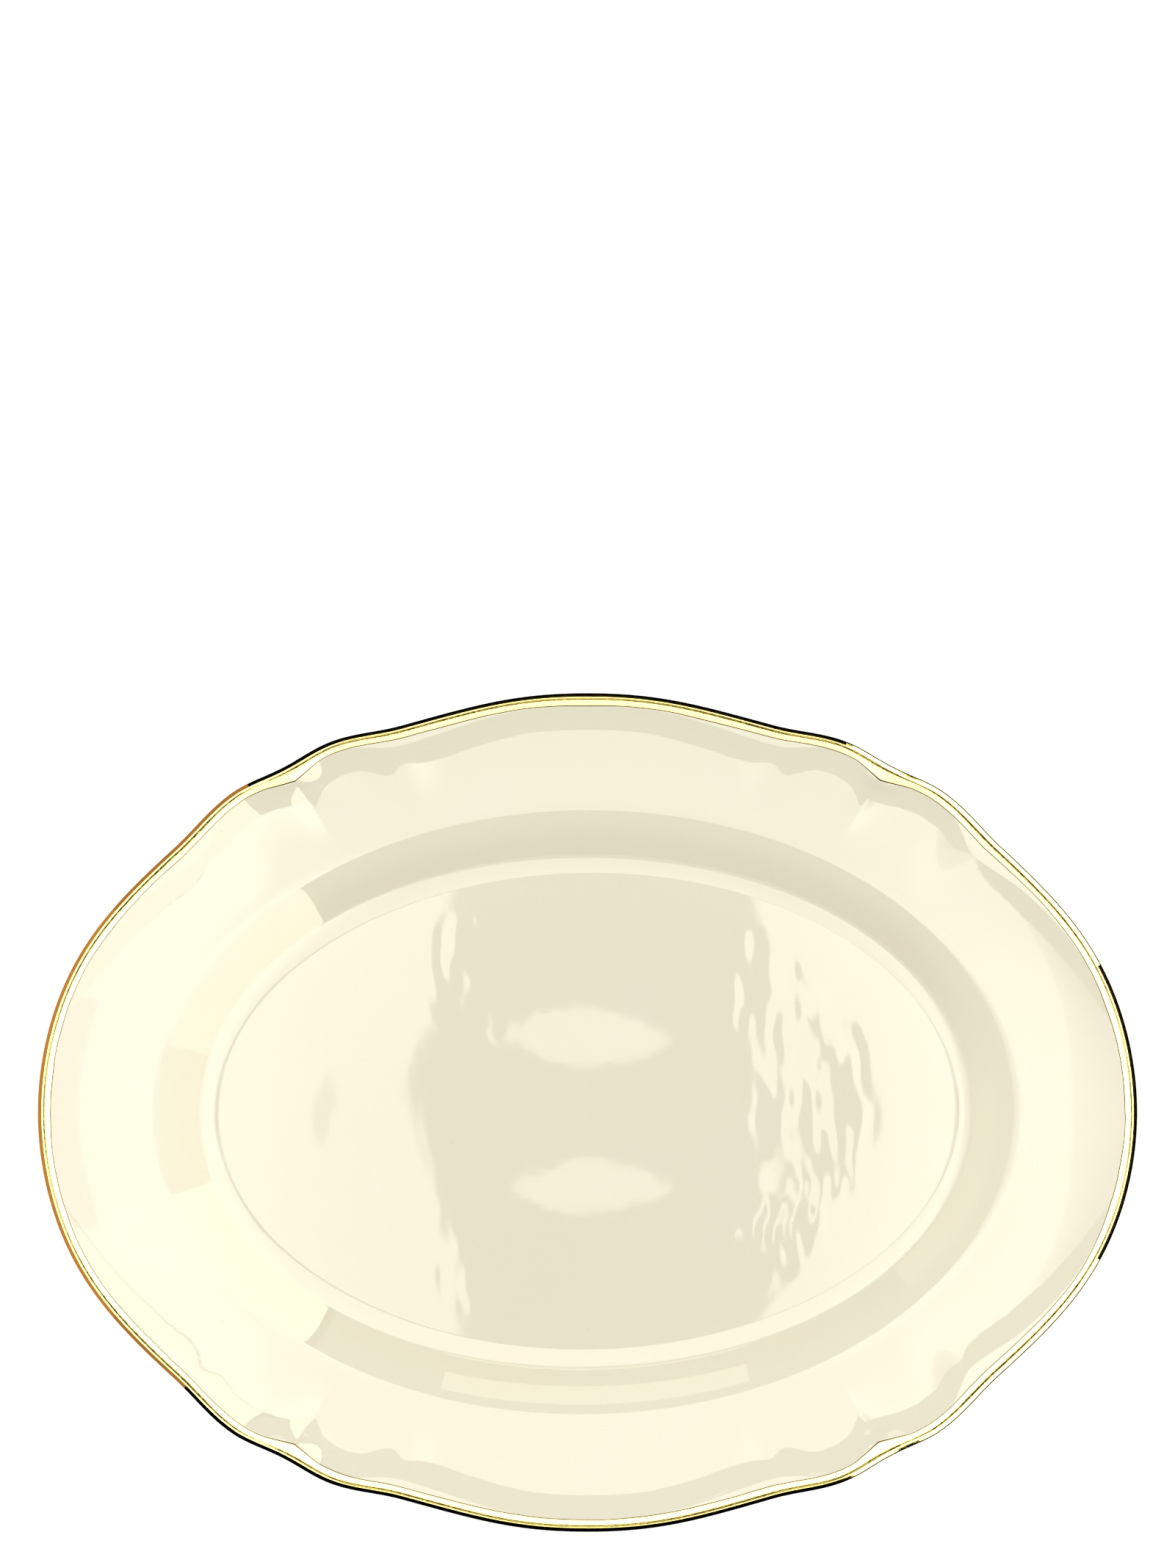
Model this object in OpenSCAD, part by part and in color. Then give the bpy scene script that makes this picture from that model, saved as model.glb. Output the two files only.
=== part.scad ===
// Oval china serving platter: a fired clay body with a standing foot ring, a glaze coat on
// its face and on its back, and a gilded band over the scalloped rim.
// Frame: +X along the length, +Y across the width, +Z up. The origin is on the table plane,
// under the middle of the platter.

/* [Platter] */
// Length over the gilded rim
length = 380; // [340:5:420]
// Width over the gilded rim
width = 290; // [260:5:320]
// Height from the table to the top of the rim
height = 32; // [30:0.5:38]
// Thickness of the finished wall
wall = 4.8; // [4:0.2:5.6]
// Thickness of each glaze coat
glaze = 0.3; // [0.2:0.05:0.5]

/* [Well] */
// Distance in from the rim at which the flat floor ends
floor_inset = 62.5; // [56:0.5:70]
// Radius of the heel, the quick turn at the floor's edge
heel_radius = 6; // [4:0.5:10]
// Radius of the apron, the gentle slope that rings the floor
apron_radius = 30; // [24:1:36]
// Radius of the cove between the apron and the side of the well
cove_radius = 22.5; // [18:0.5:24]
// Steepest slope of the side of the well
side_slope = 50; // [42:1:54]
// Radius of the shoulder where the well turns into the brim
shoulder_radius = 11.7; // [8:0.1:13]
// Slope of the brim where it leaves the shoulder
brim_slope = 9; // [5:0.5:11]

/* [Scalloped rim] */
// Depth of the wide scallop nearer each end
end_scallop = 3.1; // [0:0.1:4]
// Depth of the small notch between two scallops
notch = 1.3; // [0:0.1:2]
// Depth of the wide scallop nearer each long side
side_scallop = 2.55; // [0:0.1:4]

/* [Gilding] */
// Width of the gold band on the face
band = 4.4; // [4:0.1:6]
// How far the gold runs inward to a point at each notch
band_point = 2; // [0:0.1:3]
// Slope of the gilded rim where its gold ends on the face
gilt_slope = 14; // [8:1:16]
// Thickness of the gold band
gold = 0.15; // [0.1:0.05:0.3]

/* [Foot ring] */
// Height of the foot ring
foot_height = 5; // [4.6:0.1:6]
// Width of the surface that the platter stands on
foot_width = 6; // [4:0.5:8]

/* [Hidden] */

// Half axes of the ellipse that touches the finished glaze at the rim
half_length = length / 2 - gold;
half_width = width / 2 - gold;

// The back glaze stops this far short of the foot ring on each side of it
bare_gap = 0.4;
foot_inset = floor_inset + 1;
back_glaze_end = foot_inset - bare_gap;

// Length trimmed off each end of the foot ring's oval tube
trim = 1;

// Heights on the finished face
floor_z = foot_height + wall;
rim_z = height - gold;

// The rim's edge is half a circle, so its crown lies this far in
lip_radius = wall / 2;

// Angles around one quadrant, from the end to the long side: [from, to, steps]
SPANS = [[0, 40, 8], [40, 50, 4], [50, 62, 6], [62, 72, 4], [72, 90, 4]];
QUADRANT = [for (s = SPANS) for (i = [0 : s[2] - 1]) s[0] + (s[1] - s[0]) * i / s[2]];
ANGLES = concat(QUADRANT, [for (q = QUADRANT) 90 + mirrored(q)],
                [for (q = QUADRANT) 180 + q], [for (q = QUADRANT) 270 + mirrored(q)]);

// The same steps, met from the other end of the quadrant
function mirrored(q) = let (i = search(q, QUADRANT)[0], n = len(QUADRANT))
    i == 0 ? 0 : 90 - QUADRANT[n - i];

// Angle from the nearer end of the platter, 0 to 90
function from_end(t) = let (h = t % 180) h > 90 ? 180 - h : h;

// Smooth dip of depth 1 at middle, which fades over slow degrees before it and fast after it
function dip(a, middle, before, after, sharpness) =
    let (u = (a - middle) / (a < middle ? before : after))
    abs(u) >= 1 ? 0 : pow(cos(90 * u), a < middle ? sharpness : 2);

// How far the rim is drawn in from its ellipse at angle t
function scallop(t) = let (a = from_end(t))
    end_scallop * dip(a, 39.8, 34, 10.8, 5)
    + notch * dip(a, 56, 6, 6, 2)
    + side_scallop * dip(90 - a, 20, 19, 8.2, 2.6);

// Width of the gold on the face at angle t
function band_width(t) =
    band + band_point * pow(max(0, 1 - abs(from_end(t) - 56) / 4), 1.2);

// The section at one angle is a list of stations over the finished surface:
// [distance in from the rim's ellipse, height, slope of the surface].
// The slope turns from 0 on the floor, through the rim, to -180 on the underside.
BRIM_STEPS = 3;
LIP_SLOPES = [0, -45, -90, -135, -180];

// The side of the well, as arcs: [slope that the arc reaches, its radius, below 0 if it bulges]
WELL_ARCS = [[7, heel_radius], [16, apron_radius], [34, cove_radius], [side_slope, cove_radius],
             [28, -shoulder_radius], [brim_slope, -shoulder_radius]];

// Stations at the ends of arcs i onward, the first of which starts at a station
function climb(i, from) = i == len(WELL_ARCS) ? [] :
    let (slope = WELL_ARCS[i][0], radius = WELL_ARCS[i][1],
         to = [from[0] - radius * (sin(slope) - sin(from[2])),
               from[1] + radius * (cos(from[2]) - cos(slope)), slope])
    concat([to], climb(i + 1, to));

FLOOR_EDGE = [floor_inset, floor_z, 0];
WELL = concat([FLOOR_EDGE], climb(0, FLOOR_EDGE));
SHOULDER = WELL[len(WELL) - 1];

// The brim rises from the shoulder to the gilt edge, and steepens as it goes
BRIM_POWER = 1.3;
function brim(t) =
    let (edge = scallop(t) + band_width(t),
         top = rim_z - (band_width(t) - lip_radius) * tan(gilt_slope) / 2,
         run = SHOULDER[0] - edge,
         low = tan(brim_slope),
         gain = (BRIM_POWER + 1) * ((top - SHOULDER[1]) / run - low))
    [for (i = [1 : BRIM_STEPS]) let (u = i / BRIM_STEPS)
        [SHOULDER[0] - run * u,
         SHOULDER[1] + run * u * (low + gain / (BRIM_POWER + 1) * pow(u, BRIM_POWER)),
         i == BRIM_STEPS ? gilt_slope : atan(low + gain * pow(u, BRIM_POWER))]];

function lip(t) = [for (a = LIP_SLOPES)
    [scallop(t) + lip_radius * (1 + sin(a)), rim_z - lip_radius * (1 - cos(a)), a]];

// The underside follows the face at the wall's thickness
function under(stations) = [for (i = [len(stations) - 1 : -1 : 0]) let (s = stations[i])
    [s[0] - wall * sin(s[2]), s[1] - wall * cos(s[2]), s[2] - 180]];

// The gold runs from station GILT_FROM, over the rim's outermost station EDGE, to GILT_TO
GILT_FROM = len(WELL) + BRIM_STEPS - 1;
EDGE = GILT_FROM + 1 + search(-90, LIP_SLOPES)[0];
GILT_TO = EDGE + 1;

function section(t) = let (face = concat(WELL, brim(t)))
    concat(face, lip(t), under(face), [[back_glaze_end, foot_height, -180]]);

SECTIONS = [for (t = ANGLES) section(t)];
LAST = len(SECTIONS[0]) - 1;

// Ring of points through station k of every section, moved out of the surface by offset
function ring(k, offset) = [for (j = [0 : len(ANGLES) - 1])
    let (s = SECTIONS[j][k], inset = s[0] + offset * sin(s[2]), t = ANGLES[j])
    [(half_length - inset) * cos(t), (half_width - inset) * sin(t), s[1] + offset * cos(s[2])]];

// Closed skin over rings of points: a tube closed on itself, or one with flat end caps
module skin(rings, looped) {
    n = len(rings[0]);
    m = len(rings);
    sides = [for (k = [0 : looped ? m - 1 : m - 2], j = [0 : n - 1])
        let (a = k * n + j, b = k * n + (j + 1) % n,
             c = ((k + 1) % m) * n + (j + 1) % n, d = ((k + 1) % m) * n + j)
        each [[a, b, c], [a, c, d]]];
    caps = looped ? [] : [[for (j = [n - 1 : -1 : 0]) j], [for (j = [0 : n - 1]) (m - 1) * n + j]];
    polyhedron(points = [for (r = rings) each r], faces = concat(sides, caps), convexity = 6);
}

// Flat ellipse that follows the rim's ellipse at a distance in from it
module inset_ellipse(inset) {
    scale([half_length - inset, half_width - inset]) circle(r = 1, $fn = 144);
}

// Fired clay: floor, cove, side of the well, brim and rim, without its glaze
module clay_body() {
    color([0.93, 0.91, 0.85])
    skin([for (k = [0 : LAST]) ring(k, -glaze)], false);
}

// Standing ring under the floor, bare clay where it meets the table: an oval tube whose two
// ends are trimmed flat
module foot_ring() {
    color([0.88, 0.85, 0.78])
    intersection() {
        translate([0, 0, -trim])
        linear_extrude(foot_height + glaze + 2 * trim)
        difference() {
            inset_ellipse(foot_inset);
            inset_ellipse(foot_inset + foot_width);
        }
        translate([-half_length, -half_width, 0])
        cube([2 * half_length, 2 * half_width, foot_height + glaze]);
    }
}

// Glaze over the whole face, out to the middle of the lip
module face_glaze() {
    color([1, 0.99, 0.92])
    skin(concat([for (k = [0 : EDGE]) ring(k, 0)], [for (k = [EDGE : -1 : 0]) ring(k, -glaze)]),
         false);
}

// Glaze over the back, up to the foot ring, and in the recess inside it
module back_glaze() {
    color([0.98, 0.97, 0.9]) {
        skin(concat([for (k = [EDGE : LAST]) ring(k, 0)],
                    [for (k = [LAST : -1 : EDGE]) ring(k, -glaze)]), true);
        translate([0, 0, foot_height])
        linear_extrude(glaze)
        inset_ellipse(foot_inset + foot_width + bare_gap);
    }
}

// Gold over the lip, from the face to just under the rim
module gold_rim_band() {
    color([0.86, 0.68, 0.27])
    skin(concat([for (k = [GILT_FROM : GILT_TO]) ring(k, gold)],
                [for (k = [GILT_TO : -1 : GILT_FROM]) ring(k, 0)]), true);
}

clay_body();
foot_ring();
face_glaze();
back_glaze();
gold_rim_band();
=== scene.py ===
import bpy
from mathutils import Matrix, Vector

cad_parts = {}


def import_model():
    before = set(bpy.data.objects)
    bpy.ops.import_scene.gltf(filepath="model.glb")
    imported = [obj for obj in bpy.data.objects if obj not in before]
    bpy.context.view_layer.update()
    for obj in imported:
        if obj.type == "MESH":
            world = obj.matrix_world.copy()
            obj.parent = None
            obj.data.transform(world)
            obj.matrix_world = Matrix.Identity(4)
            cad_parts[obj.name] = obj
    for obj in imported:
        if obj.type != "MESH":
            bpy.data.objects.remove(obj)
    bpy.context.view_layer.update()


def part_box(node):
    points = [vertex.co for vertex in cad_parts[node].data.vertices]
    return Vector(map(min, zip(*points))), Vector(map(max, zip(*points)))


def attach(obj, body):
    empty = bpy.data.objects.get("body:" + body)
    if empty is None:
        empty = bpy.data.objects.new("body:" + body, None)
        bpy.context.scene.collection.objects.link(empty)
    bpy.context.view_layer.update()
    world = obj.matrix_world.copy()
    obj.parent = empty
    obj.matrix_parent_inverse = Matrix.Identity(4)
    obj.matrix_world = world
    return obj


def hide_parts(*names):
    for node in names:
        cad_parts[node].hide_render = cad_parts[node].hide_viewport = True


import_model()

import math

import bpy
import numpy as np

# ---------------------------------------------------------------- sizes, in millimetres

MM = 0.001


def corners(node):
    """Lowest and highest corner of a CAD node, in millimetres."""
    low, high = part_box(node)
    return [c / MM for c in low], [c / MM for c in high]


GLAZE_LOW, GLAZE_HIGH = corners("face_glaze")
BACK_LOW, _ = corners("back_glaze")
CLAY_LOW, _ = corners("clay_body")
_, FOOT_HIGH = corners("foot_ring")
_, GOLD_HIGH = corners("gold_rim_band")

HALF_LENGTH = GLAZE_HIGH[0]
HALF_WIDTH = GLAZE_HIGH[1]
GOLD = GOLD_HIGH[0] - GLAZE_HIGH[0]
GLAZE = CLAY_LOW[2] - BACK_LOW[2]
FOOT_Z = BACK_LOW[2]
RIM_Z = GLAZE_HIGH[2]
FLOOR_Z = GLAZE_LOW[2] + GLAZE
WALL = FLOOR_Z - FOOT_Z
FOOT_INSET = HALF_LENGTH - FOOT_HIGH[0]
FLOOR_INSET = FOOT_INSET - 1.0
FOOT_WIDTH = 6.0
BARE_GAP = 0.4

FLOOR_SAG = 0.35

# Side of the well, from the floor's edge outward: slope reached, radius and steps of each arc,
# and the width of the straight stretch between the last arc and the shoulder's
WELL_ARCS = [(7, 0.8, 3), (15, 36.0, 8), (20, 16.0, 4), (40, 2.4, 10)]
WELL_STRAIGHT = 4.8
BRIM_SLOPE = 11.0
SHOULDER_ARC = (BRIM_SLOPE, -29.0, 44)
SHOULDER_WIDTH = 4.2

# How far inward three lines of the well lie from their even course round the platter:
# [mean, then the shares of cos t, sin t, cos 2t, sin 2t and cos 4t]
SHOULDER_COURSE = (-0.9, 0.7, -0.1, 0.15, -0.5, -0.05)
FOOT_COURSE = (-0.95, 0.65, -0.25, -0.25, -0.5, 0.15)
HEEL_COURSE = (-0.9, 0.0, -0.5, -0.45, -0.6, -0.2)
HEEL_MOST = 0.3

# Half the width of the heel's turn: everywhere, what is added at the two ends, and how far it
# spreads from them
HEEL_CRISP = 0.03
HEEL_SOFT = 0.95
HEEL_SPREAD = 0.27

# Depths of the scallops and of the notch, and how much lower the crown is in the scallops
END_SCALLOP = 3.1
SIDE_SCALLOP = 2.55
NOTCH = 1.3
END_DROP = 0.28
SIDE_DROP = 0.5

# The rim's loss of symmetry in the kiln
KILN_LEAN = 0.28
KILN_TWIST = 0.39

# Rim: the crown lies CROWN in from the edge, and the face falls from it to the verge
CROWN = 1.4
LIP_HEIGHT = WALL / 2
VERGE_SLOPE = 19.0
ROLL_POWER = 0.65
ROLL_WIDTH = 3.1

# The verge's least distance from the edge, and its waves: [amount, then a dip's own values]
VERGE = 4.5
NOTCH_ANGLE = 56.4
VERGE_WAVES = [(1.8, 41.5, 21, 6, 2), (2.3, 42, 9, 5.5, 2), (2.6, NOTCH_ANGLE, 3.6, 3.6, 2),
               (2.4, 68.6, 5.5, 16, 2)]

# The power at which the brim steepens, and what its ribs and its ends take from it
BRIM_POWER = 2.0
POWER_WAVES = [(-1.4, 41.0, 20, 7.5, 1.4), (-1.0, 68.3, 4.5, 5.0, 2), (-1.2, 0.0, 32, 32, 2)]

# Crease inward from each notch: its depth, how fast it fades aside, and millimetres of rim to
# a degree there
CREASE_DEPTH = 1.1
CREASE_SPREAD = 5.0
NOTCH_STRETCH = 2.75

# Gold on the face: its width, how far it points inward at a notch, the wobble of its edge, the
# share of it over which its edge is rounded, and how many rings its painted dark reflection covers
BAND = 4.3
BAND_POINT = 2.0
BRUSH_WOBBLE = 0.22
GILT_EDGE = 0.07
GILT_SINK = 0.02
PAINTED_REFLECTION_RINGS = 6


# ---------------------------------------------------------------- shape of the platter

def from_end(t):
    """Angle from the nearer end of the platter, 0 to 90 degrees."""
    h = np.mod(t, 180.0)
    return np.where(h > 90.0, 180.0 - h, h)


def dip(a, middle, before, after, sharpness):
    """Smooth dip of depth 1 at middle, as in the CAD model."""
    u = (a - middle) / np.where(a < middle, before, after)
    c = np.cos(np.clip(np.abs(u), 0, 1) * math.pi / 2)
    return np.where(a < middle, c ** sharpness, c ** 2)


def scallops(t):
    """The wide scallop nearer each end and the one nearer each long side, each 0 to 1 deep."""
    a = from_end(t)
    return dip(a, 39.8, 34, 10.8, 5), dip(90 - a, 20, 19, 8.2, 2.6)


def scallop(t):
    """How far the rim is drawn in from its ellipse."""
    end, side = scallops(t)
    return END_SCALLOP * end + NOTCH * dip(from_end(t), 56, 6, 6, 2) + SIDE_SCALLOP * side


def kiln_warp(t):
    """The rim's slight loss of symmetry in the kiln, in millimetres."""
    r = np.radians(t)
    lean = KILN_LEAN * (np.cos(r) - np.sin(r)) - KILN_TWIST * np.sin(2 * r)
    return np.sin(2 * r) ** 2 * lean


def edge_inset(t):
    """How far the rim's outermost edge lies in from its ellipse."""
    return scallop(t) + kiln_warp(t)


def rim_top(t):
    """Height of the rim's crown, a little lower where the rim is drawn in."""
    end, side = scallops(t)
    return RIM_Z - END_DROP * end - SIDE_DROP * side


def smooth(x):
    """0 below 0, 1 above 1 and a smooth step between."""
    x = np.clip(x, 0.0, 1.0)
    return x * x * (3 - 2 * x)


def waves(seed, count, shortest, longest):
    """Random plane waves: direction and phase of each, and its height, which grows with length."""
    rng = np.random.default_rng(seed)
    length = rng.uniform(shortest, longest, count)
    turn = rng.uniform(0, 2 * math.pi, count)
    phase = rng.uniform(0, 2 * math.pi, count)
    k = 2 * math.pi / length
    return k * np.cos(turn), k * np.sin(turn), phase, length / longest / math.sqrt(count)


def add_waves(x, y, field):
    """Height of a field of waves at a point."""
    total = np.zeros(np.broadcast(x, y).shape)
    for kx, ky, phase, height in zip(*field):
        total += height * np.sin(kx * x + ky * y + phase)
    return total


SLUMP = waves(7, 28, 26.0, 90.0)
SLUMP_HEIGHT = 0.02
RIPPLE = waves(11, 60, 3.5, 20.0)
RIPPLE_HEIGHT = 0.034
HAND = waves(5, 24, 2.0, 14.0)

# The floor is rippled a little everywhere, most over a patch at +X and less over one at -X
FAINT = 0.12
LEFT_PATCH = 0.6


def slump(x, y):
    """Slow unevenness of the fired wall, which fades out at the rim, and the floor's ripples."""
    reach = np.sqrt((x / HALF_LENGTH) ** 2 + (y / HALF_WIDTH) ** 2)
    right = smooth((x - 40) / 14) * (1 - smooth((x - 94) / 10))
    left = smooth((-x - 26) / 10) * (1 - smooth((-x - 50) / 10)) * smooth((np.abs(y) - 22) / 10)
    rippled = (FAINT + right + LEFT_PATCH * left) * (1 - smooth((reach - 0.50) / 0.06))
    return (SLUMP_HEIGHT * add_waves(x, y, SLUMP) * (1 - smooth((reach - 0.80) / 0.12))
            + RIPPLE_HEIGHT * add_waves(x, 0.35 * y, RIPPLE) * rippled)


def band_width(t):
    """Width of the gold on the face, with the wobble of the painter's brush."""
    point = BAND_POINT * np.clip(1 - np.abs(from_end(t) - NOTCH_ANGLE) / 3.6, 0, 1) ** 1.15
    return BAND + point + BRUSH_WOBBLE * add_waves(t, 0 * t, HAND)


def wavy(t, level, dips):
    """A level with dips added round the platter, each as [amount, then a dip's own values]."""
    a = from_end(t)
    for amount, *values in dips:
        level = level + amount * dip(a, *values)
    return level


def verge_width(t):
    """Distance from the edge to the crease where the rolled rim meets the brim."""
    return wavy(t, VERGE, VERGE_WAVES)


def brim_power(t):
    """How late the brim steepens: early, and so more straight, on its ribs and at its ends."""
    return wavy(t, BRIM_POWER, POWER_WAVES)


def crease(t, inset):
    """Depth of the crease that runs inward from each notch."""
    along = inset - edge_inset(t)
    away = np.sqrt(((from_end(t) - NOTCH_ANGLE) * NOTCH_STRETCH) ** 2 + 0.4 ** 2) - 0.4
    return (CREASE_DEPTH * np.exp(-away / CREASE_SPREAD) * smooth((along - 6.0) / 5.0)
            * (1 - smooth((along - 12.0) / 22.0)))


def arc(start, slope, radius, steps):
    """Points of an arc that leaves a point [inset, height, slope] and reaches a slope."""
    inset, z, first = start
    found = []
    for a in np.radians(np.linspace(first, slope, steps + 1)[1:]):
        found.append([inset - radius * (math.sin(a) - math.sin(math.radians(first))),
                      z + radius * (math.cos(math.radians(first)) - math.cos(a)),
                      math.degrees(a)])
    return found


def turned(t, mean, cos_1, sin_1, cos_2, sin_2, cos_4):
    """Slow change round the platter, in millimetres."""
    r = np.radians(t)
    return (mean + cos_1 * np.cos(r) + sin_1 * np.sin(r) + cos_2 * np.cos(2 * r)
            + sin_2 * np.sin(2 * r) + cos_4 * np.cos(4 * r))


def well_shift(t, inset):
    """How far inward the well lies from its even course, at a distance in from the rim."""
    shoulder = turned(t, *SHOULDER_COURSE)
    foot_line = turned(t, *FOOT_COURSE)
    heel = np.minimum(turned(t, *HEEL_COURSE), HEEL_MOST)
    if inset < SHOULDER_INSET:
        return shoulder
    if inset < COVE_FOOT:
        share = (inset - SHOULDER_INSET) / (COVE_FOOT - SHOULDER_INSET)
        return shoulder + (foot_line - shoulder) * share
    return foot_line + (heel - foot_line) * (inset - COVE_FOOT) / (FLOOR_INSET - COVE_FOOT)


def heel_half(t):
    """Half the width of the heel's turn, which is soft only at the platter's two ends."""
    return HEEL_CRISP + HEEL_SOFT * np.exp(-(np.sin(np.radians(t)) / HEEL_SPREAD) ** 2)


def floor_edge(t):
    """How far in from the ellipse the floor ends."""
    return FLOOR_INSET + well_shift(t, FLOOR_INSET) + heel_half(t)


def well_station(t, k):
    """[inset, height] of one station of the well at every angle."""
    inset, z, slope = WELL[k]
    turn, after = WELL_ARCS[0][2], WELL_ARCS[1][2]
    if k <= turn:
        share = k / turn
        move = heel_half(t) * (1 - 2 * share)
        lift = heel_half(t) * math.tan(math.radians(WELL_ARCS[0][0])) * share ** 2
    else:
        share = max(0.0, 1 - (k - turn) / after)
        move = -heel_half(t) * share
        lift = heel_half(t) * share * math.tan(math.radians(slope))
    return [inset + move + well_shift(t, inset), z + lift]


def well_points():
    """The side of the well, from the floor's edge to the start of the brim."""
    points = [[FLOOR_INSET, FLOOR_Z, 0.0]]
    for slope, radius, steps in WELL_ARCS:
        points += arc(points[-1], slope, radius, steps)
    inset, z, slope = points[-1]
    for share in (0.33, 0.67, 1.0):
        points.append([inset - share * WELL_STRAIGHT,
                       z + share * WELL_STRAIGHT * math.tan(math.radians(slope)), slope])
    return points + arc(points[-1], *SHOULDER_ARC)


WELL = well_points()
BRIM_INSET, BRIM_Z, _ = WELL[-1]
SHOULDER_INSET = BRIM_INSET + SHOULDER_WIDTH
COVE_FOOT = WELL[sum(steps for _, _, steps in WELL_ARCS[:3])][0]


def face_height(t, inset):
    """Height of the brim and of the rolled rim, outside the well."""
    edge = edge_inset(t)
    width = verge_width(t)
    fall = math.tan(math.radians(VERGE_SLOPE))
    run = BRIM_INSET - edge - width
    bend = ROLL_POWER * (ROLL_WIDTH / (width - CROWN)) ** 0.6
    rise = rim_top(t) - (width - CROWN) * fall / (1 + bend) - BRIM_Z
    low = math.tan(math.radians(BRIM_SLOPE))
    power = brim_power(t)
    u = np.clip((BRIM_INSET - inset) / run, 0, 1)
    brim = BRIM_Z + u * run * low + u ** (power + 1) * (rise - run * low) - crease(t, inset)
    past = np.maximum(inset - edge - CROWN, 0)
    roll = rim_top(t) - past * (past / (width - CROWN)) ** bend * fall / (1 + bend)
    return np.where(inset - edge > width, brim, roll)


# ---------------------------------------------------------------- rings of points

def rim_angles(coarse, fine):
    """Angles round the platter: coarse steps, and fine ones where the rim is scalloped."""
    quarter = np.concatenate([np.arange(0, 18, coarse), np.arange(18, 78, fine),
                              np.arange(78, 90, coarse)])
    half = np.concatenate([quarter, 180 - np.concatenate([quarter[1:], [90.0]])[::-1]])
    return np.concatenate([half, half + 180])


def face_points(t, brim=90, roll=14, thin=1):
    """[inset, height] over the face, from the floor's edge to the crown, at every angle."""
    found = [well_station(t, k) for k in range(0, len(WELL), thin)]
    verge = edge_inset(t) + verge_width(t)
    for share in np.linspace(0, 1, brim + 1)[1:]:
        inset = BRIM_INSET + (verge - BRIM_INSET) * share
        moved = well_shift(t, BRIM_INSET) * (inset / BRIM_INSET) ** 3
        found.append([inset + moved, face_height(t, inset + 1e-6)])
    for share in np.linspace(0, 1, roll + 1)[1:]:
        inset = verge + (edge_inset(t) + CROWN - verge) * share
        found.append([inset, face_height(t, inset)])
    return found


def lip_points(t, first, last, steps):
    """[inset, height] round the lip: 90 is the crown, 0 its outermost edge, -90 its underside."""
    found = []
    for a in np.radians(np.linspace(first, last, steps)):
        found.append([edge_inset(t) + CROWN * (1 - math.cos(a)),
                      rim_top(t) - LIP_HEIGHT + LIP_HEIGHT * math.sin(a)])
    return found


def with_slopes(found):
    """The same points as arrays of inset, of height and of the surface's slope."""
    inset = np.array([f[0] for f in found])
    z = np.array([f[1] for f in found])
    slope = np.unwrap(np.arctan2(np.gradient(z, axis=0), -np.gradient(inset, axis=0)), axis=0)
    return inset, z, slope


def offset(found, distance):
    """The same surface, moved along its own normals."""
    inset, z, slope = with_slopes(found)
    return list(zip(inset + distance * np.sin(slope), z + distance * np.cos(slope)))


def place(found, t):
    """Rings of points in millimetres."""
    r = np.radians(t)
    rings = []
    for inset, z in found:
        x = (HALF_LENGTH - inset) * np.cos(r)
        y = (HALF_WIDTH - inset) * np.sin(r)
        rings.append(np.stack([x, y, z + slump(x, y)], axis=1))
    return rings


def floor_rings(t, z, count=110, sag=FLOOR_SAG):
    """Rings over the floor, from near its middle to its edge."""
    r = np.radians(t)
    rings = []
    shares = np.concatenate([np.linspace(0, 1, count + 1)[1:-1], [0.995, 0.998, 0.9995]])
    for share in shares:
        x = share * (HALF_LENGTH - floor_edge(t)) * np.cos(r)
        y = share * (HALF_WIDTH - floor_edge(t)) * np.sin(r)
        height = z - sag * (1 - share ** 2) ** 2 + slump(x, y)
        rings.append(np.stack([x, y, height], axis=1))
    return rings


# ---------------------------------------------------------------- meshes

def link(name, vertices, faces, material):
    """A smooth-shaded object from points in millimetres."""
    mesh = bpy.data.meshes.new(name)
    mesh.from_pydata((np.asarray(vertices) * MM).tolist(), [], faces)
    mesh.polygons.foreach_set("use_smooth", [True] * len(mesh.polygons))
    mesh.materials.append(material)
    mesh.validate()
    piece = bpy.data.objects.new(name, mesh)
    bpy.context.scene.collection.objects.link(piece)
    return piece


def ring_faces(count, around, looped):
    """Quads between each ring and the next, and back to the first if looped."""
    faces = []
    for k in range(count if looped else count - 1):
        here = k * around
        there = ((k + 1) % count) * around
        for j in range(around):
            n = (j + 1) % around
            faces.append((here + j, there + j, there + n, here + n))
    return faces


def capped(name, rings, material):
    """Closed skin over rings: the first and last close on a point in their middle."""
    around = len(rings[0])
    last = (len(rings) - 1) * around
    points = np.concatenate(rings)
    ends = np.stack([rings[0].mean(axis=0), rings[-1].mean(axis=0)])
    start, stop = len(points), len(points) + 1
    faces = ring_faces(len(rings), around, False)
    for j in range(around):
        n = (j + 1) % around
        faces.append((start, j, n))
        faces.append((stop, last + n, last + j))
    return link(name, np.concatenate([points, ends]), faces, material)


def looped(name, rings, material):
    """Closed tube over rings: the last joins the first."""
    return link(name, np.concatenate(rings), ring_faces(len(rings), len(rings[0]), True), material)


def hand_over(piece, node):
    """The piece rides on the platter's one body and replaces a CAD node."""
    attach(piece, "root")
    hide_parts(node)


# ---------------------------------------------------------------- materials

IVORY = (0.80, 0.76, 0.60)
BISCUIT = (0.60, 0.55, 0.46)
IRON = (0.34, 0.25, 0.13)
GOLD_COLOUR = (1.0, 0.82, 0.27)
# Near-black colour of the painted dark reflection along the gold's inner edge
PAINTED_REFLECTION_COLOUR = (0.07, 0.045, 0.03)
GLAZE_IOR = 1.52
PEEL_DEPTH = 0.0012


def new_material(name):
    """A material with an empty Principled shader in it."""
    material = bpy.data.materials.new(name)
    material.use_nodes = True
    tree = material.node_tree
    tree.nodes.clear()
    out = tree.nodes.new("ShaderNodeOutputMaterial")
    shader = tree.nodes.new("ShaderNodeBsdfPrincipled")
    tree.links.new(shader.outputs["BSDF"], out.inputs["Surface"])
    return material, tree, shader


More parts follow.
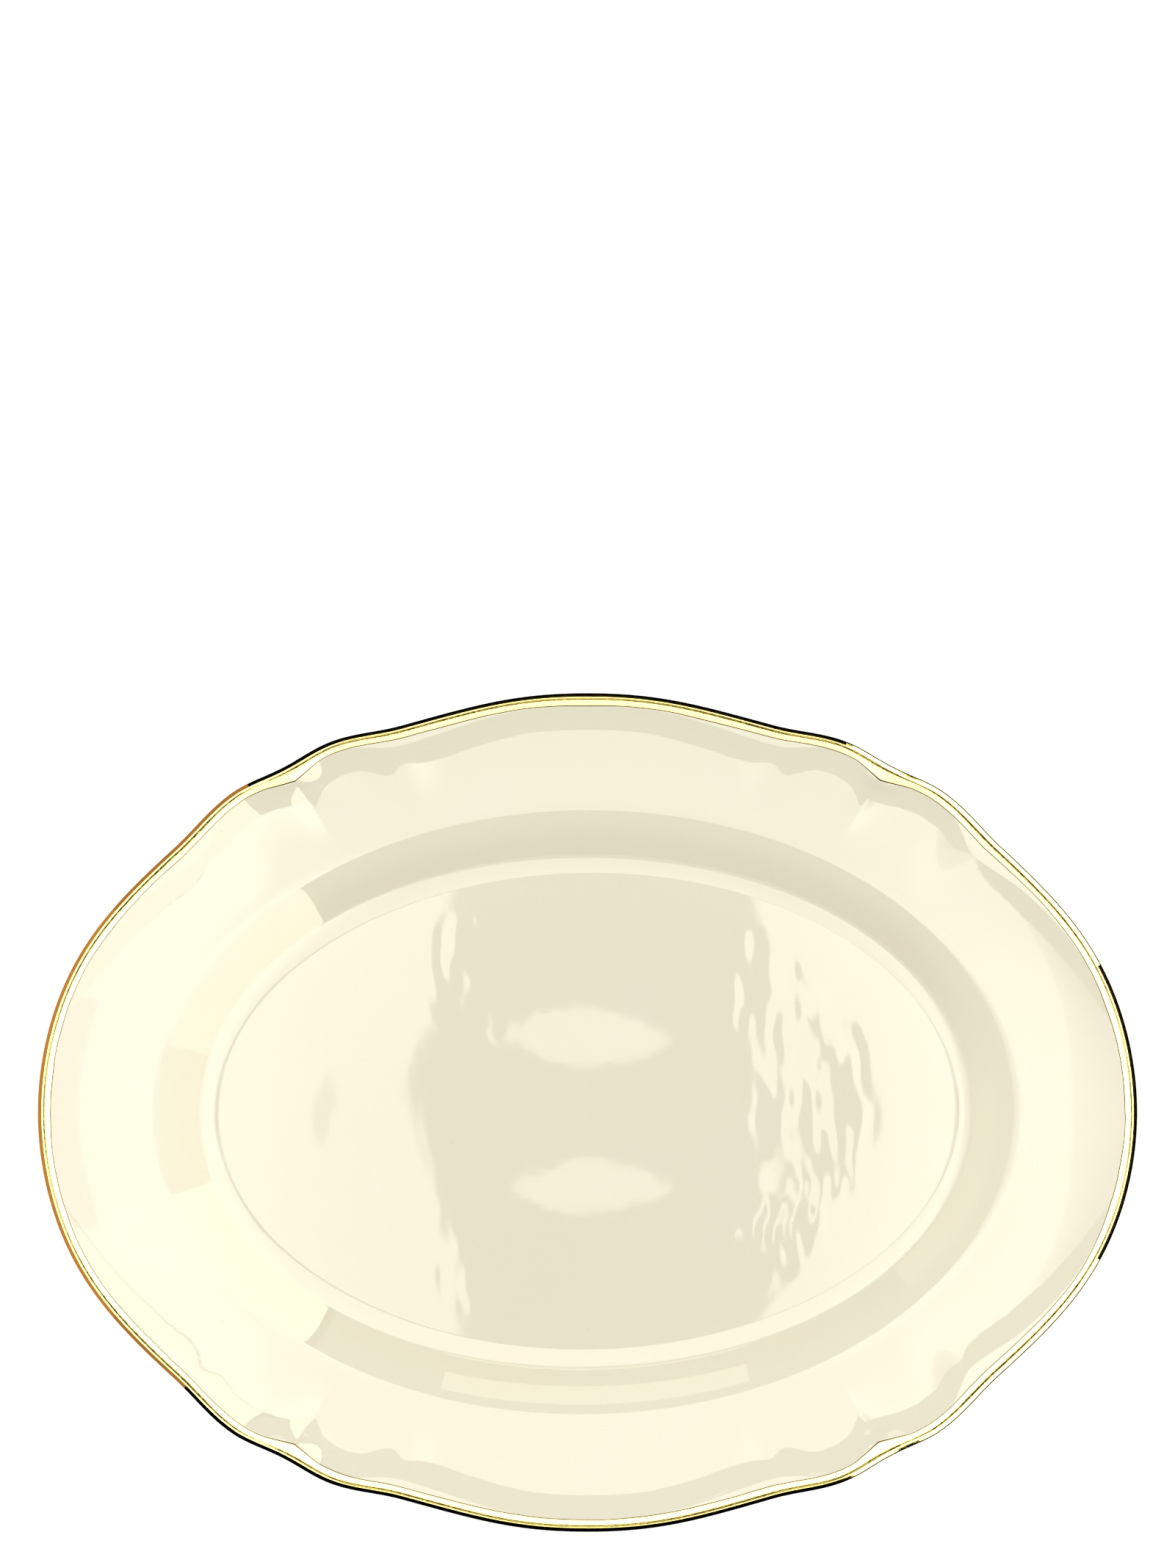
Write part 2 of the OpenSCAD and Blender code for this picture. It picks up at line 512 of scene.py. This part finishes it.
def add(tree, kind, links=None, **values):
    """A node with its properties and inputs set and linked."""
    node = tree.nodes.new(kind)
    for key, value in values.items():
        setattr(node, key, value)
    for key, source in (links or {}).items():
        if isinstance(source, bpy.types.NodeSocket):
            tree.links.new(source, node.inputs[key])
        else:
            node.inputs[key].default_value = source
    return node


def noise(tree, where, size, detail=2.0, roughness=0.5):
    """Noise whose lumps are about size millimetres across."""
    return add(tree, "ShaderNodeTexNoise", {
        "Vector": where, "Scale": 1 / (size * MM), "Detail": detail,
        "Roughness": roughness}).outputs["Fac"]


def span(tree, source, low, high, first=0.0, last=1.0):
    """Source from low to high, mapped to first to last and held there outside."""
    return add(tree, "ShaderNodeMapRange", {
        "Value": source, "From Min": low, "From Max": high, "To Min": first,
        "To Max": last}).outputs["Result"]


def mix_colour(tree, amount, first, second):
    """First colour where amount is 0 and second where it is 1."""
    node = tree.nodes.new("ShaderNodeMix")
    node.data_type = "RGBA"
    for socket, value in ((0, amount), (6, first), (7, second)):
        if isinstance(value, bpy.types.NodeSocket):
            tree.links.new(value, node.inputs[socket])
        elif socket == 0:
            node.inputs[0].default_value = value
        else:
            node.inputs[socket].default_value = (*value, 1)
    return node.outputs[2]


def shade(colour, share):
    """The same colour, darker."""
    return tuple(c * share for c in colour)


def bump(tree, shader, height, depth):
    """Bump of a given depth in millimetres."""
    node = add(tree, "ShaderNodeBump", {
        "Height": height, "Distance": depth * MM, "Strength": 1.0})
    tree.links.new(node.outputs["Normal"], shader.inputs["Normal"])


def specks(tree, where, spacing, size):
    """Rare round dots: 1 in a dot and 0 outside."""
    cells = add(tree, "ShaderNodeTexVoronoi", {"Vector": where, "Scale": 1 / (spacing * MM)})
    near = span(tree, cells.outputs["Distance"], size / spacing, 0.6 * size / spacing)
    chosen = add(tree, "ShaderNodeSeparateColor", {"Color": cells.outputs["Color"]})
    rare = span(tree, chosen.outputs["Red"], 0.72, 0.74)
    return add(tree, "ShaderNodeMath", {0: near, 1: rare}, operation="MULTIPLY").outputs[0]


def glaze_material(name, colour):
    """Cream lead glaze: cloudy body colour, rare iron specks, orange peel and fine wear."""
    material, tree, shader = new_material(name)
    where = add(tree, "ShaderNodeTexCoord").outputs["Object"]
    cloud = span(tree, noise(tree, where, 38, 4, 0.6), 0.35, 0.65)
    body = mix_colour(tree, cloud, tuple(c * k for c, k in zip(colour, (1.0, 0.993, 0.975))),
                      colour)
    body = mix_colour(tree, specks(tree, where, 9.0, 0.16), body, IRON)
    tree.links.new(body, shader.inputs["Base Color"])
    wear = noise(tree, where, 6, 5, 0.65)
    tree.links.new(span(tree, wear, 0.3, 0.75, 0.012, 0.022), shader.inputs["Roughness"])
    shader.inputs["IOR"].default_value = GLAZE_IOR
    bump(tree, shader, noise(tree, where, 2.4, 1.5), PEEL_DEPTH)
    return material


def clay_material(name, colour):
    """Unglazed biscuit clay: mottled, matt and grainy."""
    material, tree, shader = new_material(name)
    where = add(tree, "ShaderNodeTexCoord").outputs["Object"]
    mottle = span(tree, noise(tree, where, 1.6, 5, 0.7), 0.35, 0.65)
    tree.links.new(mix_colour(tree, mottle, shade(colour, 0.82), colour),
                   shader.inputs["Base Color"])
    shader.inputs["Roughness"].default_value = 0.85
    bump(tree, shader, noise(tree, where, 0.4, 3), 0.05)
    return material


def foot_material(name):
    """Standing ring: glazed on its sides, wiped down to grey-stained clay where it stands."""
    material, tree, shader = new_material(name)
    where = add(tree, "ShaderNodeTexCoord").outputs["Object"]
    height = add(tree, "ShaderNodeSeparateXYZ", {"Vector": where}).outputs["Z"]
    ragged = add(tree, "ShaderNodeMath", {0: noise(tree, where, 2.5, 3), 1: 0.0007},
                 operation="MULTIPLY_ADD")
    tree.links.new(height, ragged.inputs[2])
    glazed = span(tree, ragged.outputs[0], 0.0009, 0.0013)
    mottle = span(tree, noise(tree, where, 1.3, 5, 0.7), 0.35, 0.65)
    bare = mix_colour(tree, mottle, shade(BISCUIT, 0.78), BISCUIT)
    tree.links.new(mix_colour(tree, glazed, bare, IVORY), shader.inputs["Base Color"])
    tree.links.new(span(tree, glazed, 0, 1, 0.8, 0.06), shader.inputs["Roughness"])
    shader.inputs["IOR"].default_value = GLAZE_IOR
    bump(tree, shader, noise(tree, where, 0.4, 3), 0.02)
    return material


def gold_material(name):
    """Burnished gold: fine brush marks, a few places rubbed thin, and a dark reflection painted
    along its inner edge.
    """
    material, tree, shader = new_material(name)
    where = add(tree, "ShaderNodeTexCoord").outputs["Object"]
    rub = span(tree, noise(tree, where, 5, 4, 0.6), 0.35, 0.7)
    burnished = mix_colour(tree, rub, GOLD_COLOUR, shade(GOLD_COLOUR, 0.93))
    # Painted dark reflection: the rings at the gold's inner edge are coloured near black
    painted_edge_reflection = add(tree, "ShaderNodeAttribute", attribute_name="painted_edge_reflection").outputs["Fac"]
    tree.links.new(mix_colour(tree, painted_edge_reflection, burnished, PAINTED_REFLECTION_COLOUR), shader.inputs["Base Color"])
    shader.inputs["Metallic"].default_value = 1.0
    tree.links.new(span(tree, noise(tree, where, 1.2, 4, 0.6), 0.3, 0.7, 0.05, 0.11),
                   shader.inputs["Roughness"])
    bump(tree, shader, noise(tree, where, 1.5, 2), 0.006)
    return material


# ---------------------------------------------------------------- pieces

def face_glaze():
    """Glaze over the whole face, out to the middle of the lip."""
    t = rim_angles(0.4, 0.15)
    found = face_points(t) + lip_points(t, 90, 0, 12)[1:]
    inner = offset(found[::4] + [found[-1]], -GLAZE)
    rings = floor_rings(t, FLOOR_Z) + place(found, t)
    rings += (floor_rings(t, FLOOR_Z - GLAZE, 20) + place(inner, t))[::-1]
    piece = capped("face_glaze_coat", rings, glaze_material("face_glaze", IVORY))
    hand_over(piece, "face_glaze")


def underside(t, brim, roll):
    """[inset, height] over the back, from under the crown to the end of the back glaze."""
    face = face_points(t, brim, roll)
    return offset(face, -WALL)[::-1]


def back_glaze():
    """Glaze over the back, from the middle of the lip to the foot ring."""
    t = rim_angles(1.0, 0.5)
    found = lip_points(t, 0, -90, 10) + underside(t, 40, 6)[1:]
    found.append([FOOT_INSET - BARE_GAP + 0 * t, FOOT_Z + 0 * t])
    rings = place(found, t) + place(offset(found, -GLAZE), t)[::-1]
    piece = looped("back_glaze_coat", rings, glaze_material("back_glaze", IVORY))
    hand_over(piece, "back_glaze")


def recess_glaze():
    """Glaze in the recess inside the foot ring."""
    t = np.arange(0, 360, 1.5)
    r = np.radians(t)
    reach = FOOT_INSET + FOOT_WIDTH + BARE_GAP
    rings = []
    for z, share_list in ((FOOT_Z, np.linspace(0.05, 1, 16)),
                          (FOOT_Z + GLAZE, np.linspace(1, 0.05, 16))):
        for share in share_list:
            rings.append(np.stack([share * (HALF_LENGTH - reach) * np.cos(r),
                                   share * (HALF_WIDTH - reach) * np.sin(r), z + 0 * r], axis=1))
    piece = capped("recess_glaze_coat", rings[::-1], bpy.data.materials["back_glaze"])
    hand_over(piece, "back_glaze")


def gold_rim():
    """Gold over the lip, rounded at its edge on the face, where a thin dark reflection is painted
    into the gold's colour.
    """
    t = rim_angles(0.3, 0.1)
    edge = edge_inset(t)
    width = band_width(t)
    found, lift = [], []
    for share in np.concatenate([[0, 0.01, 0.025, 0.045, GILT_EDGE], np.linspace(0.1, 1, 24)]):
        inset = edge + width + (CROWN - width) * share
        found.append([inset, face_height(t, inset)])
        lift.append(GOLD * math.sqrt(1 - max(0.0, 1 - share / GILT_EDGE) ** 2))
    lip = lip_points(t, 90, -35, 26)[1:]
    lift += [GOLD] * (len(lip) - 4) + [0.95 * GOLD, 0.8 * GOLD, 0.5 * GOLD, 0.0]
    inset, z, slope = with_slopes(found + lip)
    lift = np.array(lift)[:, None]
    outer = list(zip(inset + lift * np.sin(slope), z + lift * np.cos(slope)))
    inner = list(zip(inset - GILT_SINK * np.sin(slope), z - GILT_SINK * np.cos(slope)))
    rings = place(outer, t) + place(inner, t)[::-1]
    piece = looped("gilded_rim", rings, gold_material("gilding"))
    # The first rings, at the gold's rounded inner edge, carry the painted dark reflection
    painted_edge_reflection = [1.0 if k < PAINTED_REFLECTION_RINGS else 0.0 for k in range(len(rings))]
    piece.data.attributes.new("painted_edge_reflection", "FLOAT", "POINT").data.foreach_set(
        "value", np.repeat(painted_edge_reflection, len(t)))
    hand_over(piece, "gold_rim_band")


def clay():
    """Fired clay under the glaze."""
    t = rim_angles(2.0, 1.0)
    face = face_points(t, 24, 5, 2)
    found = face + lip_points(t, 90, -90, 13)[1:] + underside(t, 24, 5)[1:]
    rings = (floor_rings(t, FLOOR_Z - GLAZE, 12) + place(offset(found, -GLAZE), t)
             + floor_rings(t, FOOT_Z + GLAZE, 6, 0)[::-1])
    piece = capped("fired_clay", rings, clay_material("fired_clay", BISCUIT))
    hand_over(piece, "clay_body")


def foot():
    """Standing ring, drawn narrower and rounder toward the table."""
    t = rim_angles(1.0, 1.0)
    r = np.radians(t)
    top = FOOT_Z + GLAZE
    outline = [(0.0, top), (0.25, top - 0.9), (0.55, 3.0), (0.95, 1.4), (1.3, 0.6), (1.75, 0.15),
               (2.3, 0.0), (3.7, 0.0), (4.25, 0.15), (4.7, 0.6), (5.05, 1.4), (5.45, 3.0),
               (5.75, top - 0.9), (FOOT_WIDTH, top)]
    rings = [np.stack([(HALF_LENGTH - FOOT_INSET - inset) * np.cos(r),
                       (HALF_WIDTH - FOOT_INSET - inset) * np.sin(r), z + 0 * r], axis=1)
             for inset, z in outline]
    piece = looped("standing_ring", rings, foot_material("bare_foot"))
    hand_over(piece, "foot_ring")


# ---------------------------------------------------------------- studio

CAMERA_HEIGHT = 2400.0
TENT_HEIGHT = 1200.0
PLATTER_SHARE = 0.9356
PLATTER_DROP = 0.2095
IMAGE_ASPECT = 2136 / 1600
SENSOR = 36.0

ROOM = (0.675, 0.675, 0.675)
FILL = 2.13
FILL_ASIDE = 280.0
FILL_RADIUS = 900.0
FILL_HEIGHT = 1500.0
TENT_TINT = (1.05, 1.0, 0.88)
CARD_TINT = (1.06, 1.0, 0.76)

# Brightness of the tent's roof: along its middle, toward its two sides, on its two panels and
# at the two lamps beside the lens
MIDDLE_GLOW = 2.7
RIGHT_GLOW = 5.7
LEFT_GLOW = 3.9
PANEL_DROP = 1.7
LAMP_GLOW = 2.6

# Half lengths of the roof's outline, and the lamps: [middle x, y, half length, half width]
ROOF = (756.0, 700.0)
LAMPS = [(-1.5, 28.8, 42.8, 12.4), (0.6, -27.2, 39.9, 11.7)]


def camera():
    """Straight down over the middle; the platter fills the lower part of the tall frame."""
    data = bpy.data.cameras.new("camera")
    eye = bpy.data.objects.new("camera", data)
    level = RIM_Z - LIP_HEIGHT
    eye.location = (0, 0, (level + CAMERA_HEIGHT) * MM)
    frame_height = 2 * GOLD_HIGH[0] / PLATTER_SHARE * IMAGE_ASPECT
    data.sensor_width = SENSOR
    data.lens = SENSOR * CAMERA_HEIGHT / frame_height
    data.shift_y = PLATTER_DROP
    data.clip_end = 50
    bpy.context.scene.collection.objects.link(eye)
    bpy.context.scene.camera = eye


def glowing(name, strength, colour=(1, 1, 1), varied=False):
    """Light-giving cloth; varied cloth has its strength stored at each point of its mesh."""
    material = bpy.data.materials.new(name)
    material.use_nodes = True
    tree = material.node_tree
    tree.nodes.clear()
    out = tree.nodes.new("ShaderNodeOutputMaterial")
    glow = add(tree, "ShaderNodeEmission", {"Color": (*colour, 1), "Strength": strength})
    if varied:
        level = add(tree, "ShaderNodeAttribute", attribute_name="glow")
        tree.links.new(level.outputs["Fac"], glow.inputs["Strength"])
    tree.links.new(glow.outputs[0], out.inputs["Surface"])
    return material


def stage_light(piece, seen_in_gloss=True):
    """Set up a light that the lens does not see, and that lights either gloss or body colour."""
    piece.visible_camera = False
    piece.visible_glossy = seen_in_gloss
    piece.visible_diffuse = not seen_in_gloss
    piece.visible_shadow = False


def within(x, low, high, blur):
    """1 between low and high and 0 outside, with edges as wide as blur."""
    return smooth((x - low) / blur + 0.5) * smooth((high - x) / blur + 0.5)


def tent_dark(x, y):
    """How much of the roof is cut away: the lens's slot with a sliver of cloth left across it,
    the stand beside it and one small mark."""
    left = 64 + 5 * smooth(y / 60 + 0.5) + 14 * np.exp(-(y / 40) ** 2)
    right = 86 + smooth((-30 - y) / 8) * (34 + 0.4 * (y + 33))
    slot = within(x, -left, right, 8) * within(y, -155, 155, 12)
    across = 0.76 * (x - 111) - 0.65 * (y + 21)
    along = -0.65 * (x - 111) - 0.76 * (y + 21)
    sliver = within(across, -4, 4, 3) * within(along, -8, 45, 12)
    stand = within(x, 113, 143 - 0.017 * (y - 5) ** 2, 6) * within(y, -38, 44, 8)
    spot = 0.5 * (1 - smooth(((x + 128) / 7) ** 2 + (y / 17) ** 2 - 0.3))
    return np.maximum(slot * (1 - sliver), np.maximum(stand, spot))


def tent_glow(x, y):
    """Brightness of the tent's roof over a point in millimetres from the middle."""
    aside = np.abs(y)
    start = 90 - 0.15 * np.minimum(aside, 300) + 0.22 * np.maximum(aside - 300, 0)
    width = 150 + 0.25 * np.minimum(aside, 300)
    middle = MIDDLE_GLOW + 1.3 * smooth((y + 500) / 800)
    left = LEFT_GLOW + 1.3 * smooth((y + 600) / 600)
    left = left - 1.2 * smooth((-432 - x) / 26) - 1.5 * np.clip((-445 - x) / 180, 0, 1)
    panel = within(aside, -1, 249 + 0.54 * (x - 541), 16) * smooth((x - 530) / 20)
    level = (middle + (RIGHT_GLOW - middle) * smooth((x - start) / width)
             + (left - middle) * smooth((-x - start) / width) - PANEL_DROP * panel)
    level = np.where((x / ROOF[0]) ** 2 + (y / ROOF[1]) ** 2 < 1, level, 0)
    level = level * (1 - tent_dark(x, y))
    for middle_x, middle_y, half_x, half_y in LAMPS:
        lens = (np.abs(x - middle_x) / half_x) ** 1.4 + (np.abs(y - middle_y) / half_y) ** 1.8
        level = level + LAMP_GLOW * (1 - smooth((lens - 0.75) / 0.25))
    return level


def tent():
    """Roof of a light tent, with a slot in its middle for the lens."""
    coarse = np.arange(208, 780, 8.0)
    xs = ys = np.concatenate([-coarse[::-1], np.arange(-200, 201, 2.5), coarse])
    x, y = np.meshgrid(xs, ys)
    points = np.stack([x.ravel(), y.ravel(), np.full(x.size, TENT_HEIGHT)], axis=1)
    wide = len(xs)
    level = tent_glow(x, y).ravel()
    faces = [(k, k + 1, k + 1 + wide, k + wide) for j in range(len(ys) - 1)
             for k in range(j * wide, (j + 1) * wide - 1) if level[k] + level[k + 1 + wide] > 0]
    roof = link("tent_roof", points, faces, glowing("tent_cloth", 1.0, TENT_TINT, varied=True))
    glow = roof.data.attributes.new("glow", "FLOAT", "POINT")
    glow.data.foreach_set("value", level)
    stage_light(roof)


def fill():
    """Large even light overhead, a little toward +Y, for the body colour."""
    turns = np.radians(np.arange(0, 360, 6.0))
    points = [(0, FILL_ASIDE, FILL_HEIGHT)]
    points += [(FILL_RADIUS * math.cos(a), FILL_ASIDE + FILL_RADIUS * math.sin(a), FILL_HEIGHT)
               for a in turns]
    around = len(turns)
    faces = [(0, k + 1, (k + 1) % around + 1) for k in range(around)]
    stage_light(link("fill_light", points, faces, glowing("fill_cloth", FILL)), False)


# Cards round the tent: [azimuth from, to, elevation from, to, brightness at foot, at top, share
# of it that is left at the last azimuth, distance]
CARDS = [(64, 128, -20, 62, 0.9, 0.9, 1.0, 1500), (128, 180, -20, 62, 1.9, 0.9, 1.0, 1500),
         (180, 232, -20, 62, 1.9, 0.9, 0.0, 1500), (-61.5, -20.8, -20, 62, 5.0, 5.0, 1.0, 1500),
         (-20.8, 23.8, -20, 62, 3.6, 3.6, 1.0, 1500), (23.8, 62.7, -20, 62, 5.7, 5.7, 1.0, 1500),
         (78.2, 104.8, 18.7, 46.5, 2.8, 2.8, 1.0, 1450)]


def card(name, first, last, low, high, foot_glow, top_glow, end_share, distance):
    """Upright curved card at a distance, between two azimuths and two elevations."""
    turns, rows = np.radians(np.linspace(first, last, 20)), np.linspace(low, high, 16)
    points, level = [], []
    for e in rows:
        up = distance * math.tan(math.radians(e))
        points += [(distance * math.cos(a), distance * math.sin(a), up) for a in turns]
        glow = foot_glow + (top_glow - foot_glow) * smooth((e - 12) / 34)
        level += (glow * np.linspace(1, end_share, len(turns))).tolist()
    wide = len(turns)
    faces = [(k, k + 1, k + 1 + wide, k + wide) for j in range(len(rows) - 1)
             for k in range(j * wide, (j + 1) * wide - 1)]
    cloth = link(name, points, faces, glowing(name + "_cloth", 1.0, CARD_TINT, varied=True))
    cloth.data.attributes.new("glow", "FLOAT", "POINT").data.foreach_set("value", level)
    stage_light(cloth)


# Narrow flags close round the rim: [angle from, to, glow and tint]
FLAGS = [(-21, 21, (0, 0, 0)), (62, 128, (0, 0, 0)), (128, 150, (0.42, 0.21, 0.10)),
         (150, 210, (0.55, 0.27, 0.125)), (210, 222, (0.42, 0.21, 0.10)),
         (222, 298, (0, 0, 0))]
FLAG_GAP = 5.0
FLAG_TOP = 24.0


def flag(name, first, last, tint):
    """Strip that stands a little outside the rim and follows it."""
    turns = np.arange(first, last + 0.5, 1.0)
    r = np.radians(turns)
    points = []
    for gap, z in ((FLAG_GAP, -30.0), (FLAG_GAP, RIM_Z + FLAG_TOP)):
        points.append(np.stack([(HALF_LENGTH + gap) * np.cos(r), (HALF_WIDTH + gap) * np.sin(r),
                                z + 0 * r], axis=1))
    wide = len(turns)
    faces = [(k, k + 1, k + 1 + wide, k + wide) for k in range(wide - 1)]
    stage_light(link(name, np.concatenate(points), faces, glowing(name + "_cloth", 1.0, tint)))


def floor():
    """Plain pale ground, which glows a little so that it comes out white."""
    size = 6000.0
    points = [(-size, -size, 0), (size, -size, 0), (size, size, 0), (-size, size, 0)]
    material, tree, shader = new_material("pale_floor")
    shader.inputs["Base Color"].default_value = (0.9, 0.9, 0.9, 1)
    shader.inputs["Roughness"].default_value = 1.0
    shader.inputs["Specular IOR Level"].default_value = 0.0
    shader.inputs["Emission Color"].default_value = (1, 1, 1, 1)
    shader.inputs["Emission Strength"].default_value = 0.4
    ground = link("floor", points, [(0, 1, 2, 3)], material)
    ground.visible_glossy = False


def world():
    """Pale room that fills the shadows but is not mirrored in the glaze."""
    sky = bpy.data.worlds.new("studio")
    sky.use_nodes = True
    sky.node_tree.nodes["Background"].inputs["Color"].default_value = (*ROOM, 1)
    sky.node_tree.nodes["Background"].inputs["Strength"].default_value = 1.0
    sky.cycles_visibility.glossy = False
    bpy.context.scene.world = sky


face_glaze()
back_glaze()
recess_glaze()
clay()
foot()
gold_rim()
camera()
tent()
fill()
for number, values in enumerate(CARDS):
    card(f"card_{number}", *values)
for number, values in enumerate(FLAGS):
    flag(f"flag_{number}", *values)
floor()
world()
bpy.context.scene.view_settings.view_transform = "Standard"
